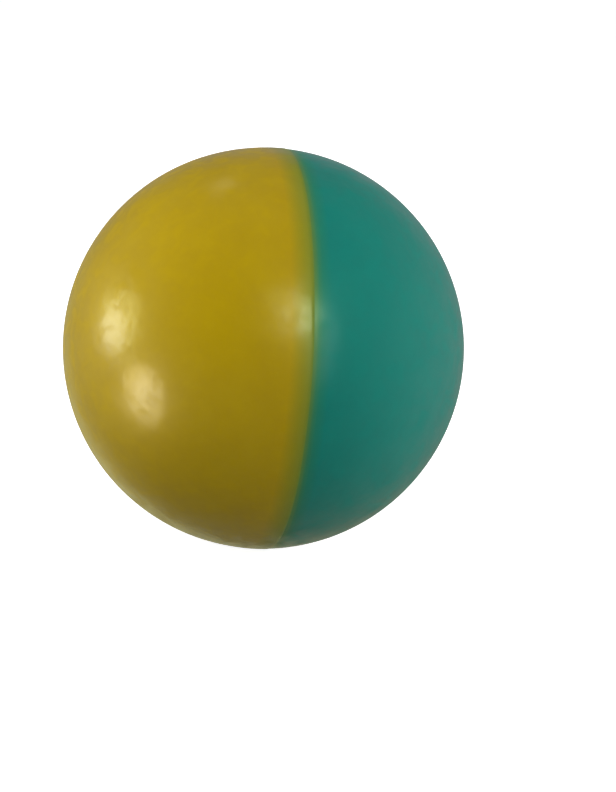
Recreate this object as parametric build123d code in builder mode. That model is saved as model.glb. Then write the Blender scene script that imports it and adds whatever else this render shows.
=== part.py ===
"""Two-tone lacquered ball for miniature golf: a solid raw ball, its primer and two half coats of lacquer.

The origin is the ball's centre. +X is the axis that the ball was dipped along, from the yellow pole to the
teal pole, and +Z is up. Every piece is round about that axis. Sizes are in millimetres.
"""

import os
from math import acos, degrees, sqrt

from build123d import *

# Driving dimensions
ball_diameter = 42.7  # from pole to pole, over the lacquer
lacquer_thickness = 0.25  # of either half coat, away from its edge
primer_thickness = 0.08  # of the coat between the raw ball and the lacquer
dip_past_equator = 1.05  # each half goes this much deeper into the lacquer than half the ball
tip_thickness = 0.05  # of the teal coat where its taper ends in a blunt tip
bead_height = 0.05  # by which the yellow coat's edge stands proud of the ball
bead_nose = 0.35  # from the bead's crest down to the teal coat, along the axis
bead_run = 4.0  # from the crest back to where the yellow coat is level again, along the axis

# Radii of the layers, from the outside in
ball_radius = ball_diameter / 2
primer_radius = ball_radius - lacquer_thickness
raw_radius = primer_radius - primer_thickness

# Where the edges lie along the axis: yellow laps over teal between the two
yellow_edge = dip_past_equator
teal_edge = -dip_past_equator
bead_crest = yellow_edge - bead_nose
bead_start = bead_crest - bead_run


def on_circle(radius, along):
    """The point of a circle about the centre that lies this far along the axis."""
    return (along, sqrt(radius**2 - along**2))


def layer_arc(radius, start, end):
    """The arc of a circle about the centre, from one place along the axis to another."""
    start_angle = degrees(acos(start / radius))
    end_angle = degrees(acos(end / radius))
    return CenterArc((0, 0), radius, start_angle, end_angle - start_angle)


# Both half coats meet on the taper, between these two points of the half section
taper_top = on_circle(ball_radius, yellow_edge)
taper_tip = on_circle(primer_radius + tip_thickness, teal_edge)

# The raw ball: one solid pressing of elastomer, ground round
with BuildPart() as raw_ball:
    Sphere(raw_radius)

# The primer: an even coat over the whole raw ball, which holds the lacquer to it
with BuildPart() as primer_coat:
    Sphere(primer_radius)
    Sphere(raw_radius, mode=Mode.SUBTRACT)

# The teal coat: the first half to be dipped, thinning to a tip where the dip ended
with BuildPart() as teal_coat:
    with BuildSketch(Plane.XY):
        with BuildLine():
            inside = layer_arc(primer_radius, teal_edge, primer_radius)
            outside = layer_arc(ball_radius, ball_radius, yellow_edge)
            Line(inside @ 1, outside @ 0)
            Line(taper_top, taper_tip)
            Line(taper_tip, inside @ 0)
        make_face()
    revolve(axis=Axis.X)

# The yellow coat: the second half, lapping over the teal taper and ending in a rounded bead
with BuildPart() as yellow_coat:
    with BuildSketch(Plane.XY):
        with BuildLine():
            inside = layer_arc(primer_radius, teal_edge, -primer_radius)
            outside = layer_arc(ball_radius, -ball_radius, bead_start)
            Line(inside @ 1, outside @ 0)
            swell = TangentArc(
                outside @ 1, on_circle(ball_radius + bead_height, bead_crest), tangent=outside % 1
            )
            TangentArc(swell @ 1, taper_top, tangent=swell % 1)
            Line(taper_top, taper_tip)
            Line(taper_tip, inside @ 0)
        make_face()
    revolve(axis=Axis.X)

raw_ball.part.label = "raw_ball"
primer_coat.part.label = "primer_coat"
teal_coat.part.label = "teal_coat"
yellow_coat.part.label = "yellow_coat"

os.makedirs("parts", exist_ok=True)
for piece in (raw_ball, primer_coat, teal_coat, yellow_coat):
    export_step(piece.part, f"parts/{piece.part.label}.step")
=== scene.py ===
"""The looks of a two-tone lacquered ball for miniature golf, in metres, in the frame of its solid model.

The origin is the ball's centre. +X runs from the yellow pole to the teal pole, and +Z is up.
"""

import math

import bpy
from mathutils import Matrix, Vector


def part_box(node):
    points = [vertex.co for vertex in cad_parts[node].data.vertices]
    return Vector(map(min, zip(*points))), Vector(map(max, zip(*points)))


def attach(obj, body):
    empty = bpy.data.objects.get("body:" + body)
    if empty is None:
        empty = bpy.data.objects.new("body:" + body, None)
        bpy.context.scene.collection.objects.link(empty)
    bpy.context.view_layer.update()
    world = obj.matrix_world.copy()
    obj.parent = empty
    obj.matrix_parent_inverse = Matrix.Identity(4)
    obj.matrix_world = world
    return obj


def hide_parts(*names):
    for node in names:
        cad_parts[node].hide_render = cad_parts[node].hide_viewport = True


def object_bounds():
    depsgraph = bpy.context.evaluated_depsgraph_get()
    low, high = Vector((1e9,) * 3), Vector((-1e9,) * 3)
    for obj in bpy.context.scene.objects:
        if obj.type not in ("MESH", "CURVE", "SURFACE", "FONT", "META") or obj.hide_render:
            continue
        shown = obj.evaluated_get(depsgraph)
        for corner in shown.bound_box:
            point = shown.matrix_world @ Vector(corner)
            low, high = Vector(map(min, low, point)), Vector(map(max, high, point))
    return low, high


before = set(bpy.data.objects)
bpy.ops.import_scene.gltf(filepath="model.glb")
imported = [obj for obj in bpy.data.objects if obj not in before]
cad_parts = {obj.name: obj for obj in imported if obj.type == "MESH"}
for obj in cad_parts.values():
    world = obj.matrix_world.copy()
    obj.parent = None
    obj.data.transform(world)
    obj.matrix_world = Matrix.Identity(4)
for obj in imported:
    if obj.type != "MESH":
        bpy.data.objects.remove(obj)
solid_low, solid_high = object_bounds()

# ---- Raw ball ----------------------------------------------------------------------------------------
# The solid elastomer ball that gives the weight and the bounce. It is cast in a two-part mould and ground
# round, so its skin is matt, with the fine random scratches of the grinding stone. The coats hide it.

MM = 0.001  # a millimetre, in metres


def linear(hex_colour):
    """An sRGB hex colour as linear red, green, blue and alpha."""
    parts = [int(hex_colour[i : i + 2], 16) / 255 for i in (1, 3, 5)]
    return [c / 12.92 if c <= 0.04045 else ((c + 0.055) / 1.055) ** 2.4 for c in parts] + [1.0]


def add_node(tree, kind, inputs=(), **settings):
    """Adds a node with its settings. Inputs are values, nodes or sockets, by socket name or in order."""
    node = tree.nodes.new(kind)
    for name, value in settings.items():
        setattr(node, name, value)
    sockets = [socket for socket in node.inputs if socket.enabled]
    if isinstance(inputs, dict):
        by_name = {socket.name: socket for socket in reversed(sockets)}
        pairs = [(by_name[name], value) for name, value in inputs.items()]
    else:
        pairs = zip(sockets, inputs)
    for socket, value in pairs:
        if isinstance(value, bpy.types.Node):
            value = next(output for output in value.outputs if output.enabled)
        if isinstance(value, bpy.types.NodeSocket):
            tree.links.new(value, socket)
        else:
            socket.default_value = value
    return node


def new_material(name):
    """An empty material, and the place on the piece that its patterns read."""
    material = bpy.data.materials.new(name)
    material.use_nodes = True
    material.node_tree.nodes.clear()
    place = add_node(material.node_tree, "ShaderNodeTexCoord").outputs["Object"]
    return material, material.node_tree, place


def finish_material(tree, shader):
    """Ends a material's tree in its shader."""
    add_node(tree, "ShaderNodeOutputMaterial", {"Surface": shader})


def dress(node, material):
    """Gives a piece of the solid model its finish, and leaves its shape as it is."""
    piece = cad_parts[node]
    piece.data.materials.clear()
    piece.data.materials.append(material)
    return piece


def ground_elastomer():
    """Cast polyurethane elastomer, dark and matt, with a ground skin."""
    material, tree, place = new_material("cast_elastomer_ground")
    cloud_width = 6 * MM
    grit_width = 0.4 * MM  # finer on a real ball, and as coarse here as it takes to show
    grit_depth = 0.01 * MM
    clouds = add_node(tree, "ShaderNodeTexNoise", {"Vector": place, "Scale": 1 / cloud_width, "Detail": 3.0})
    grit = add_node(tree, "ShaderNodeTexNoise", {"Vector": place, "Scale": 1 / grit_width, "Detail": 5.0})
    colour = add_node(
        tree,
        "ShaderNodeMix",
        {"Factor": clouds, "A": linear("#37332F"), "B": linear("#433E39")},
        data_type="RGBA",
    )
    roughness = add_node(tree, "ShaderNodeMapRange", {"Value": grit, "To Min": 0.6, "To Max": 0.85})
    bump = add_node(tree, "ShaderNodeBump", {"Strength": 0.6, "Distance": grit_depth, "Height": grit})
    shader = add_node(
        tree,
        "ShaderNodeBsdfPrincipled",
        {"Base Color": colour, "Roughness": roughness, "IOR": 1.5, "Normal": bump},
    )
    finish_material(tree, shader)
    return material


raw_ball = dress("raw_ball", ground_elastomer())

# ---- Primer coat -------------------------------------------------------------------------------------
# The adhesion primer that ties the lacquer to the elastomer. It is sprayed on thin and dries to a pale,
# flat, slightly dusty film that shows the overspray as a fine grain. The lacquer hides it.


def sprayed_primer():
    """Pale two-part adhesion primer, sprayed, dull, with a fine grain of overspray."""
    material, tree, place = new_material("adhesion_primer_sprayed")
    grain_width = 0.3 * MM  # finer on a real ball, and as coarse here as it takes to show
    grain_depth = 0.005 * MM
    cloud_width = 9 * MM
    grain = add_node(tree, "ShaderNodeTexNoise", {"Vector": place, "Scale": 1 / grain_width, "Detail": 4.0})
    clouds = add_node(tree, "ShaderNodeTexNoise", {"Vector": place, "Scale": 1 / cloud_width, "Detail": 2.0})
    colour = add_node(
        tree,
        "ShaderNodeMix",
        {"Factor": clouds, "A": linear("#C9C7BF"), "B": linear("#D5D3CC")},
        data_type="RGBA",
    )
    roughness = add_node(tree, "ShaderNodeMapRange", {"Value": grain, "To Min": 0.7, "To Max": 0.9})
    bump = add_node(tree, "ShaderNodeBump", {"Strength": 0.5, "Distance": grain_depth, "Height": grain})
    shader = add_node(
        tree,
        "ShaderNodeBsdfPrincipled",
        {"Base Color": colour, "Roughness": roughness, "IOR": 1.5, "Normal": bump},
    )
    finish_material(tree, shader)
    return material


primer_coat = dress("primer_coat", sprayed_primer())

# ---- Teal coat ---------------------------------------------------------------------------------------
# The first half coat of two-part polyurethane lacquer. The ball is dipped a little past its middle and
# spun dry, so the coat is even, and thins to a blunt tip where the dip ended. The yellow coat laps over it.

ball_radius = solid_high.x
primer_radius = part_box("primer_coat")[1].x
lap_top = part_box("yellow_coat")[1].x  # where yellow ends on the outside
lap_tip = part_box("teal_coat")[0].x  # where teal ends on the inside
tip_thickness = 0.05 * MM
line_waver = 0.07 * MM  # how far the dip line strays to either side
wavers_a_radius = 1.7  # one for about each 12.6 mm of the line
peel_depth = 0.004 * MM
peel_width = 2.5 * MM
crease_angle = math.radians(40)  # only the coats' edges and tips are sharper than this
weld_distance = 0.0001 * MM

# How finely the skin is cut: rows from pole to pole along the wall, outside first, and columns around it
OUTSIDE_ROWS = 150
LAP_ROWS = 6
TIP_ROWS = 1
INSIDE_ROWS = 60
COLUMNS = 256
WALL_ROWS = OUTSIDE_ROWS + LAP_ROWS + TIP_ROWS + INSIDE_ROWS


def half_coat_tree():
    """Geometry nodes that make a half coat as a closed shell about the X axis, from its own pole to the lap.

    A flat grid, with a row for each step along the wall's section, is bent to the section and wound round
    the axis. Side is 1 for the coat whose pole is at -X, and -1 for the other one.
    """
    tree = bpy.data.node_groups.new("half_coat", "GeometryNodeTree")
    for name in (
        "Side",
        "Ball Radius",
        "Primer Radius",
        "Lap Top",
        "Lap Tip",
        "Tip Thickness",
        "Bead Height",
        "Bead Nose",
        "Bead Run",
        "Line Waver",
        "Waver Scale",
        "Peel Height",
        "Peel Scale",
    ):
        tree.interface.new_socket(name, in_out="INPUT", socket_type="NodeSocketFloat")
    tree.interface.new_socket("Lacquer", in_out="INPUT", socket_type="NodeSocketMaterial")
    tree.interface.new_socket("Coat", in_out="OUTPUT", socket_type="NodeSocketGeometry")
    size = add_node(tree, "NodeGroupInput").outputs

    grid = add_node(
        tree,
        "GeometryNodeMeshGrid",
        {"Size X": float(WALL_ROWS), "Size Y": 1.0, "Vertices X": WALL_ROWS + 1, "Vertices Y": COLUMNS + 1},
    )
    position = add_node(tree, "GeometryNodeInputPosition")
    spot = add_node(tree, "ShaderNodeSeparateXYZ", [position])
    row = add_node(tree, "ShaderNodeMath", [spot.outputs["X"], WALL_ROWS / 2], operation="ADD")
    around = add_node(tree, "ShaderNodeMath", [spot.outputs["Y"], math.tau], operation="MULTIPLY")
    turn = add_node(tree, "ShaderNodeMath", [around, size["Side"]], operation="MULTIPLY")
    lap_start = OUTSIDE_ROWS
    tip_start = lap_start + LAP_ROWS
    inside_start = tip_start + TIP_ROWS
    along_outside = add_node(tree, "ShaderNodeMapRange", [row, 0.0, lap_start, 0.0, 1.0])
    along_lap = add_node(tree, "ShaderNodeMapRange", [row, lap_start, tip_start, 0.0, 1.0])
    along_tip = add_node(tree, "ShaderNodeMapRange", [row, tip_start, inside_start, 0.0, 1.0])
    along_inside = add_node(tree, "ShaderNodeMapRange", [row, inside_start, WALL_ROWS, 0.0, 1.0])

    # The dip line wavers a little round the ball, alike on both coats
    rim = add_node(
        tree, "ShaderNodeVectorRotate", {"Vector": (0, 1, 0), "Angle": turn}, rotation_type="X_AXIS"
    )
    wander = add_node(
        tree, "ShaderNodeTexNoise", {"Vector": rim, "Scale": size["Waver Scale"], "Detail": 2.0}
    )
    sway = add_node(tree, "ShaderNodeMapRange", [wander, 0.0, 1.0, -1.0, 1.0])
    waver = add_node(tree, "ShaderNodeMath", [sway, size["Line Waver"]], operation="MULTIPLY")
    wavy_top = add_node(tree, "ShaderNodeMath", [size["Lap Top"], waver], operation="ADD")
    top = add_node(tree, "ShaderNodeMath", [wavy_top, size["Side"]], operation="MULTIPLY")
    wavy_tip = add_node(tree, "ShaderNodeMath", [size["Lap Tip"], waver], operation="ADD")
    tip = add_node(tree, "ShaderNodeMath", [wavy_tip, size["Side"]], operation="MULTIPLY")

    # The outside's rows open out from the pole, and crowd towards the edge
    left = add_node(tree, "ShaderNodeMath", [1.0, along_outside], operation="SUBTRACT")
    left_squared = add_node(tree, "ShaderNodeMath", [left, left], operation="MULTIPLY")
    eased = add_node(tree, "ShaderNodeMath", [1.0, left_squared], operation="SUBTRACT")
    top_back = add_node(tree, "ShaderNodeMath", [top, -1.0], operation="MULTIPLY")
    top_cosine = add_node(tree, "ShaderNodeMath", [top_back, size["Ball Radius"]], operation="DIVIDE")
    widest = add_node(tree, "ShaderNodeMath", [top_cosine], operation="ARCCOSINE")
    opening = add_node(tree, "ShaderNodeMath", [widest, eased], operation="MULTIPLY")
    angle = add_node(tree, "ShaderNodeMath", [opening, -1.0], operation="MULTIPLY")
    arrow = add_node(
        tree, "ShaderNodeVectorRotate", {"Vector": (-1, 0, 0), "Angle": angle}, rotation_type="Z_AXIS"
    )
    arrow_along = add_node(tree, "ShaderNodeSeparateXYZ", [arrow]).outputs["X"]
    along_axis = add_node(tree, "ShaderNodeMath", [arrow_along, size["Ball Radius"]], operation="MULTIPLY")
    from_edge = add_node(tree, "ShaderNodeMath", [top, along_axis], operation="SUBTRACT")

    # The lacquer pulls up into a bead there: a round nose, and then a long fall
    nose = add_node(tree, "ShaderNodeMapRange", [from_edge, 0.0, size["Bead Nose"], 1.0, 0.0])
    nose_squared = add_node(tree, "ShaderNodeMath", [nose, nose], operation="MULTIPLY")
    rise = add_node(tree, "ShaderNodeMath", [1.0, nose_squared], operation="SUBTRACT")
    bead_end = add_node(tree, "ShaderNodeMath", [size["Bead Nose"], size["Bead Run"]], operation="ADD")
    fall = add_node(
        tree,
        "ShaderNodeMapRange",
        [from_edge, size["Bead Nose"], bead_end, 1.0, 0.0],
        interpolation_type="SMOOTHSTEP",
    )
    bead_shape = add_node(tree, "ShaderNodeMath", [rise, fall], operation="MULTIPLY")
    bead = add_node(tree, "ShaderNodeMath", [bead_shape, size["Bead Height"]], operation="MULTIPLY")

    # The orange peel only ever lies below the ball's own radius
    flip = add_node(tree, "ShaderNodeCombineXYZ", [size["Side"], 1.0, 1.0])
    heading = add_node(
        tree, "ShaderNodeVectorRotate", {"Vector": arrow, "Angle": turn}, rotation_type="X_AXIS"
    )
    heading = add_node(tree, "ShaderNodeVectorMath", [heading, flip], operation="MULTIPLY")
    ripple = add_node(
        tree, "ShaderNodeTexNoise", {"Vector": heading, "Scale": size["Peel Scale"], "Detail": 1.0}
    )
    peel = add_node(tree, "ShaderNodeMath", [ripple, size["Peel Height"]], operation="MULTIPLY")
    beaded = add_node(tree, "ShaderNodeMath", [size["Ball Radius"], bead], operation="ADD")
    reach = add_node(tree, "ShaderNodeMath", [beaded, peel], operation="SUBTRACT")
    outside = add_node(tree, "ShaderNodeVectorMath", {"Vector": arrow, "Scale": reach}, operation="SCALE")

    # The lap's foot stands off the primer by the tip's thickness
    tip_radius = add_node(
        tree, "ShaderNodeMath", [size["Primer Radius"], size["Tip Thickness"]], operation="ADD"
    )
    tip_radius_squared = add_node(tree, "ShaderNodeMath", [tip_radius, 2.0], operation="POWER")
    tip_squared = add_node(tree, "ShaderNodeMath", [tip, 2.0], operation="POWER")
    height_squared = add_node(
        tree, "ShaderNodeMath", [tip_radius_squared, tip_squared], operation="SUBTRACT"
    )
    tip_height = add_node(tree, "ShaderNodeMath", [height_squared], operation="SQRT")
    foot = add_node(tree, "ShaderNodeCombineXYZ", [tip, tip_height, 0.0])

    # The inside lies on the primer and closes in towards the pole
    tip_back = add_node(tree, "ShaderNodeMath", [tip, -1.0], operation="MULTIPLY")
    tip_cosine = add_node(tree, "ShaderNodeMath", [tip_back, size["Primer Radius"]], operation="DIVIDE")
    inside_widest = add_node(tree, "ShaderNodeMath", [tip_cosine], operation="ARCCOSINE")
    closing = add_node(tree, "ShaderNodeMath", [along_inside, 1.0], operation="SUBTRACT")
    inside_angle = add_node(tree, "ShaderNodeMath", [inside_widest, closing], operation="MULTIPLY")
    inside = add_node(
        tree, "ShaderNodeVectorRotate", {"Vector": (-1, 0, 0), "Angle": inside_angle}, rotation_type="Z_AXIS"
    )
    inside = add_node(
        tree, "ShaderNodeVectorMath", {"Vector": inside, "Scale": size["Primer Radius"]}, operation="SCALE"
    )

    # The section is wound round the axis, and the poles and the join are closed
    section = add_node(
        tree, "ShaderNodeMix", {"Factor": along_lap, "A": outside, "B": foot}, data_type="VECTOR"
    )
    section = add_node(
        tree, "ShaderNodeMix", {"Factor": along_tip, "A": section, "B": inside}, data_type="VECTOR"
    )
    wound = add_node(
        tree, "ShaderNodeVectorRotate", {"Vector": section, "Angle": turn}, rotation_type="X_AXIS"
    )
    wound = add_node(tree, "ShaderNodeVectorMath", [wound, flip], operation="MULTIPLY")
    mm_from_edge = add_node(tree, "ShaderNodeMath", [from_edge, MM], operation="DIVIDE")
    marked = add_node(
        tree,
        "GeometryNodeStoreNamedAttribute",
        {"Geometry": grid, "Name": "mm_from_edge", "Value": mm_from_edge},
        data_type="FLOAT",
        domain="POINT",
    )
    placed = add_node(tree, "GeometryNodeSetPosition", {"Geometry": marked, "Position": wound})
    closed = add_node(tree, "GeometryNodeMergeByDistance", {"Geometry": placed, "Distance": weld_distance})
    outward = add_node(tree, "GeometryNodeFlipFaces", {"Mesh": closed})
    smooth = add_node(tree, "GeometryNodeSetShadeSmooth", {"Geometry": outward, "Shade Smooth": True})
    real = add_node(tree, "GeometryNodeRealizeInstances", {"Geometry": smooth})
    painted = add_node(tree, "GeometryNodeSetMaterial", {"Geometry": real, "Material": size["Lacquer"]})
    add_node(tree, "NodeGroupOutput", {"Coat": painted})
    return tree


coat_tree = half_coat_tree()


def make_coat(name, lacquer, **sizes):
    """Runs the half coat's tree with these sizes and returns the plain mesh that it makes."""
    maker = bpy.data.objects.new(name + "_maker", bpy.data.meshes.new(name + "_maker"))
    bpy.context.scene.collection.objects.link(maker)
    modifier = maker.modifiers.new("half_coat", "NODES")
    modifier.node_group = coat_tree
    values = {
        "Ball Radius": ball_radius,
        "Primer Radius": primer_radius,
        "Lap Top": lap_top,
        "Lap Tip": lap_tip,
        "Tip Thickness": tip_thickness,
        "Line Waver": line_waver,
        "Waver Scale": wavers_a_radius,
        "Peel Height": peel_depth,
        "Peel Scale": ball_radius / peel_width,
        "Lacquer": lacquer,
        **sizes,
    }
    for socket in coat_tree.interface.items_tree:
        if socket.in_out == "INPUT":
            modifier[socket.identifier] = values.get(socket.name, 0.0)
    evaluated = maker.evaluated_get(bpy.context.evaluated_depsgraph_get())
    mesh = bpy.data.meshes.new_from_object(evaluated)
    mesh.name = name
    # The tree leaves an empty material slot beside the lacquer's own
    mesh.materials.clear()
    mesh.materials.append(lacquer)
    bpy.data.objects.remove(maker)
    mesh.set_sharp_from_angle(angle=crease_angle)
    piece = bpy.data.objects.new(name, mesh)
    bpy.context.scene.collection.objects.link(piece)
    return piece


def lacquer_surface(tree, place, colour):
    """Two-part polyurethane lacquer, satin to the touch: a broad sheen under a sharper gloss.

    Handling leaves smudges that dull the gloss. The film has low waves, a faint orange peel and dust nibs.
    """
    smudge_width = 1.8 * MM
    wave_width = 2.6 * MM
    wave_height = 0.055 * MM
    dimple_width = 1.1 * MM
    dimple_depth = 0.014 * MM
    nib_spacing = 3.2 * MM
    nib_share = 0.035  # a nib's radius as a share of the spacing
    nib_height = 0.02 * MM
    smudges = add_node(
        tree,
        "ShaderNodeTexNoise",
        {"Vector": place, "Scale": 1 / smudge_width, "Detail": 5.0, "Distortion": 0.8},
    )
    gloss = add_node(
        tree,
        "ShaderNodeMapRange",
        {"Value": smudges, "From Min": 0.47, "From Max": 0.64, "To Min": 1.0, "To Max": 0.55},
    )
    roughness = add_node(
        tree,
        "ShaderNodeMapRange",
        {"Value": smudges, "From Min": 0.35, "From Max": 0.7, "To Min": 0.4, "To Max": 0.5},
    )
    waves = add_node(tree, "ShaderNodeTexNoise", {"Vector": place, "Scale": 1 / wave_width, "Detail": 1.0})
    wave_bump = add_node(tree, "ShaderNodeBump", {"Strength": 1.0, "Distance": wave_height, "Height": waves})
    dimples = add_node(
        tree, "ShaderNodeTexNoise", {"Vector": place, "Scale": 1 / dimple_width, "Detail": 1.0}
    )
    peel_bump = add_node(
        tree,
        "ShaderNodeBump",
        {"Strength": 1.0, "Distance": dimple_depth, "Height": dimples, "Normal": wave_bump},
    )
    spots = add_node(tree, "ShaderNodeTexVoronoi", {"Vector": place, "Scale": 1 / nib_spacing})
    nibs = add_node(
        tree,
        "ShaderNodeMapRange",
        [spots.outputs["Distance"], 0.0, nib_share, 1.0, 0.0],
        interpolation_type="SMOOTHSTEP",
    )
    relief = add_node(
        tree,
        "ShaderNodeBump",
        {"Strength": 1.0, "Distance": nib_height, "Height": nibs, "Normal": peel_bump},
    )
    return add_node(
        tree,
        "ShaderNodeBsdfPrincipled",
        {
            "Base Color": colour,
            "Roughness": roughness,
            "IOR": 1.5,
            "Specular IOR Level": 0.2,
            "Normal": relief,
            "Coat Weight": gloss,
            "Coat Roughness": 0.24,
            "Coat IOR": 1.5,
            "Coat Normal": relief,
        },
    )


def mottle(tree, place, colour, darker):
    """The lacquer's colour with the faint clouds that its pigment dries to."""
    cloud_width = 5 * MM
    clouds = add_node(
        tree,
        "ShaderNodeTexNoise",
        {"Vector": place, "Scale": 1 / cloud_width, "Detail": 4.0, "Roughness": 0.6},
    )
    share = add_node(tree, "ShaderNodeMapRange", [clouds, 0.35, 0.65, 0.0, 1.0])
    return add_node(
        tree,
        "ShaderNodeMix",
        {"Factor": share, "A": linear(colour), "B": linear(darker)},
        data_type="RGBA",
    )


def film_colours(tree, steps, body):
    """The colours that the film passes through with the distance from its edge, in mm.

    The last step has no colour of its own, and is the body's.
    """
    from_edge = add_node(tree, "ShaderNodeAttribute", attribute_name="mm_from_edge").outputs["Fac"]
    colour = linear(steps[0][1])
    for (start, _), (end, hex_colour) in zip(steps, steps[1:]):
        share = add_node(tree, "ShaderNodeMapRange", [from_edge, start, end, 0.0, 1.0])
        target = body if hex_colour is None else linear(hex_colour)
        colour = add_node(
            tree, "ShaderNodeMix", {"Factor": share, "A": colour, "B": target}, data_type="RGBA"
        )
    return colour


def teal_lacquer():
    """Teal lacquer. Next to the lap a trace of yellow lies over it and turns it green."""
    material, tree, place = new_material("teal_polyurethane_lacquer")
    body = mottle(tree, place, "#0F8A7B", "#0E8779")
    steps = ((0.0, "#5F8A44"), (0.2, "#558A4D"), (0.5, "#36875F"), (0.9, "#20876D"), (1.8, None))
    finish_material(tree, lacquer_surface(tree, place, film_colours(tree, steps, body)))
    return material


teal_coat = make_coat("teal_lacquer_coat", teal_lacquer(), Side=-1.0)
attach(teal_coat, "root")
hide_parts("teal_coat")

# ---- Yellow coat -------------------------------------------------------------------------------------
# The second half coat, of the same lacquer in yellow. It laps over the teal, where the film is thin enough
# to let the teal through and turns olive, and its edge dries to a low rounded bead that stands proud.

bead_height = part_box("yellow_coat")[1].z - ball_radius
bead_nose = 0.35 * MM
bead_run = 4 * MM


def yellow_lacquer():
    """Mustard yellow lacquer. Over the lap the teal shows through the thinning film and turns it olive."""
    material, tree, place = new_material("yellow_polyurethane_lacquer")
    body = mottle(tree, place, "#C0A100", "#BB9C00")
    steps = ((0.0, "#6F8C36"), (0.2, "#838F29"), (0.45, "#909425"), (1.0, "#9E961A"), (2.3, None))
    finish_material(tree, lacquer_surface(tree, place, film_colours(tree, steps, body)))
    return material


yellow_coat = make_coat(
    "yellow_lacquer_coat",
    yellow_lacquer(),
    **{"Side": 1.0, "Bead Height": bead_height, "Bead Nose": bead_nose, "Bead Run": bead_run},
)
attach(yellow_coat, "root")
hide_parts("yellow_coat")

# ---- Studio ------------------------------------------------------------------------------------------
# A pale table in a dim room with pale pools of light. Five big soft lamps all round light the ball, and
# smaller ones show only in its gloss. What lies behind the ball is seen as plain white.

table_reach = 40  # metres, so that its edges are out of sight
table_mesh = bpy.data.meshes.new("table")
table_mesh.from_pydata(
    [(x * table_reach, y * table_reach, solid_low.z) for x, y in ((-1, -1), (1, -1), (1, 1), (-1, 1))],
    [],
    [(0, 1, 2, 3)],
)
table = bpy.data.objects.new("table", table_mesh)
bpy.context.scene.collection.objects.link(table)
table.visible_glossy = False


def table_paper():
    """White paper, lit until it is nearly blank, which throws only a little light back at the ball."""
    material = bpy.data.materials.new("table_paper")
    material.use_nodes = True
    tree = material.node_tree
    tree.nodes.clear()
    seen = add_node(tree, "ShaderNodeLightPath").outputs["Is Camera Ray"]
    dull = add_node(tree, "ShaderNodeBsdfDiffuse", {"Color": linear("#959595")})
    pale = add_node(tree, "ShaderNodeBsdfDiffuse", {"Color": linear("#E7E7E7")})
    blank = add_node(tree, "ShaderNodeEmission", {"Color": linear("#FFFFFF"), "Strength": 0.92})
    lit = add_node(tree, "ShaderNodeAddShader", [pale, blank])
    shown = add_node(tree, "ShaderNodeMixShader", [seen, dull, lit])
    under = add_node(tree, "ShaderNodeNewGeometry").outputs["Backfacing"]
    clear = add_node(tree, "ShaderNodeBsdfTransparent")
    finish_material(tree, add_node(tree, "ShaderNodeMixShader", [under, shown, clear]))
    return material


table_mesh.materials.append(table_paper())


def bearing(azimuth, elevation):
    """The direction from the ball that lies this far round from -Y, towards +X, and above the table."""
    a, e = math.radians(azimuth), math.radians(elevation)
    return Vector((math.sin(a) * math.cos(e), -math.cos(a) * math.cos(e), math.sin(e)))


def add_lamp(
    name, azimuth, elevation, distance, width, height, lean, radiance, colour=(1, 1, 1), aim=(0, 0, 0)
):
    """A soft oval lamp that faces the ball from a bearing, leaning by an angle.

    Its power is worked out from its radiance, so that its size doesn't change how bright it looks.
    """
    lamp = bpy.data.lights.new(name, "AREA")
    lamp.shape = "ELLIPSE"
    lamp.size = width
    lamp.size_y = height
    lamp.energy = radiance * math.pi * (math.pi / 4 * width * height)
    lamp.color = colour
    holder = bpy.data.objects.new(name, lamp)
    bpy.context.scene.collection.objects.link(holder)
    direction = bearing(azimuth, elevation)
    facing = direction.to_track_quat("Z", "Y").to_matrix().to_4x4()
    turned = facing @ Matrix.Rotation(math.radians(lean), 4, "Z")
    holder.matrix_world = Matrix.Translation(Vector(aim) + direction * distance) @ turned
    holder.visible_camera = False
    return holder


# The big soft lamps light the ball and stay out of its gloss. Multiple importance sampling is off for them,
# because it would let a part of their gloss in
softbox_size = 0.8
softbox_distance = 0.8
for name, azimuth, elevation, radiance in (
    ("softbox_left", -100, 8, 3.6),
    ("softbox_high_left", -70, 45, 1.9),
    ("softbox_front", 30, 8, 2.2),
    ("softbox_right", 85, 8, 3.1),
    ("softbox_back", 165, 8, 1.4),
):
    softbox = add_lamp(name, azimuth, elevation, softbox_distance, softbox_size, softbox_size, 0, radiance)
    softbox.visible_glossy = False
    softbox.data.cycles.use_multiple_importance_sampling = False

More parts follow.
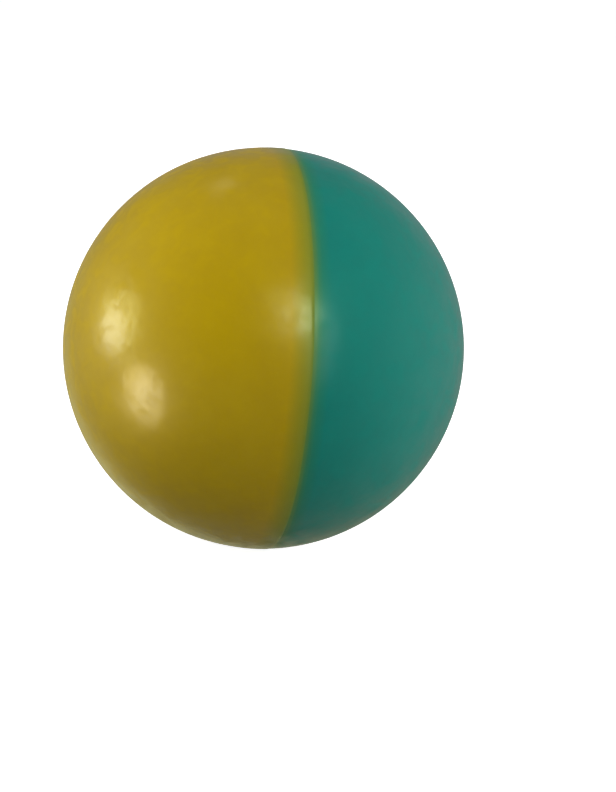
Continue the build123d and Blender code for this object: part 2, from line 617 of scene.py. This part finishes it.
# The small lamps show only in the gloss. Each glow is the wider light round the lamp before it. The cards
# stand close to the ball and face the spot on its skin where they show
window_distance = 0.6
card_distance = 0.03
middle = (0, 0, 0)
low_left = (-0.0145, -0.0156, -0.0022)
for name, azimuth, elevation, distance, width, height, lean, radiance, colour, aim in (
    ("window_left", -103.5, 2.5, window_distance, 0.18, 0.2, 66, 4.0, (0.85, 0.87, 1.0), middle),
    ("window_left_glow", -101, 6, window_distance, 0.25, 0.31, 85, 4.1, (0.98, 1.0, 0.38), middle),
    ("card_low_left", -80, -20.5, card_distance, 0.0095, 0.011, -40, 2.8, (0.95, 0.98, 1.0), low_left),
    ("card_low_left_glow", -82.5, -21, card_distance, 0.018, 0.021, -7, 5.0, (1.0, 0.87, 0.46), low_left),
    ("window_front", 11.5, 25.5, window_distance, 0.09, 0.135, -12, 5.4, (0.8, 1.0, 0.8), middle),
    ("window_front_glow", 7.5, 30.5, window_distance, 0.22, 0.26, -13, 4.4, (0.85, 1.0, 0.6), middle),
    ("window_front_low", 21, 14.5, window_distance, 0.16, 0.5, -3, 1.0, (0.8, 1.0, 0.85), middle),
    ("lamp_above", -156, 58, window_distance, 0.085, 0.11, -60, 1.2, (1.0, 1.0, 0.7), middle),
):
    lamp = add_lamp(name, azimuth, elevation, distance, width, height, lean, radiance, colour, aim)
    lamp.visible_diffuse = False

# The room's own light: dark in front of the ball, with pale pools at its sides, behind, below and above
room = bpy.data.worlds.new("room")
bpy.context.scene.world = room
room.use_nodes = True
tree = room.node_tree
tree.nodes.clear()
towards = add_node(tree, "ShaderNodeTexCoord").outputs["Generated"]
room_light = (0.01, 0.01, 0.01)
for azimuth, elevation, brightness, narrowness in (
    (-100, 5, (0.225, 0.23, 0.255), 4.0),
    (80, 5, (0.23, 0.23, 0.23), 4.0),
    (120, 5, (0.15, 0.15, 0.15), 4.0),
    (-140, 5, (0.08, 0.08, 0.08), 4.0),
    (165, 12, (0.15, 0.17, 0.18), 10.0),
    (80, -40, (0.1, 0.1, 0.1), 4.0),
    (169, -50, (0.18, 0.18, 0.12), 3.0),
    (-170, -27, (0.45, 0.44, 0.2), 14.0),
    (0, 90, (0.14, 0.14, 0.15), 3.0),
):
    pool_centre = bearing(azimuth, elevation)
    facing = add_node(tree, "ShaderNodeVectorMath", [towards, pool_centre], operation="DOT_PRODUCT")
    ahead = add_node(tree, "ShaderNodeMath", [facing.outputs["Value"], 0.0], operation="MAXIMUM")
    pool = add_node(tree, "ShaderNodeMath", [ahead, narrowness], operation="POWER")
    room_light = add_node(
        tree, "ShaderNodeVectorMath", [pool, brightness, room_light], operation="MULTIPLY_ADD"
    )
seen = add_node(tree, "ShaderNodeLightPath").outputs["Is Camera Ray"]
dim = add_node(tree, "ShaderNodeBackground", {"Color": room_light, "Strength": 1.0})
white = add_node(tree, "ShaderNodeBackground", {"Color": (1, 1, 1, 1), "Strength": 1.0})
shown = add_node(tree, "ShaderNodeMixShader", [seen, dim, white])
add_node(tree, "ShaderNodeOutputWorld", {"Surface": shown})

# ---- Camera ------------------------------------------------------------------------------------------
# A short telephoto a little above the table. The ball sits up and to the left of the frame's middle.

camera_bearing = bearing(-10.5, 10)
camera_distance = 10.87 * ball_radius
camera_roll = math.radians(4.41)
focal_length = 98.7  # on a frame 36 mm wide
aim_right = 0.2213 * ball_radius
aim_down = 0.2378 * ball_radius
level_right = camera_bearing.cross(Vector((0, 0, -1))).normalized()
level_up = camera_bearing.cross(level_right)
right = level_right * math.cos(camera_roll) + level_up * math.sin(camera_roll)
up = level_up * math.cos(camera_roll) - level_right * math.sin(camera_roll)
eye = camera_bearing * camera_distance
look_at = right * aim_right - up * aim_down
back = (eye - look_at).normalized()
across = up.cross(back).normalized()
lens = bpy.data.cameras.new("camera")
lens.sensor_width = 36
lens.lens = focal_length
lens.clip_start = 0.01
camera = bpy.data.objects.new("camera", lens)
bpy.context.scene.collection.objects.link(camera)
camera_turn = Matrix((across, back.cross(across), back)).transposed().to_4x4()
camera.matrix_world = Matrix.Translation(eye) @ camera_turn
bpy.context.scene.camera = camera
bpy.context.scene.view_settings.view_transform = "Standard"
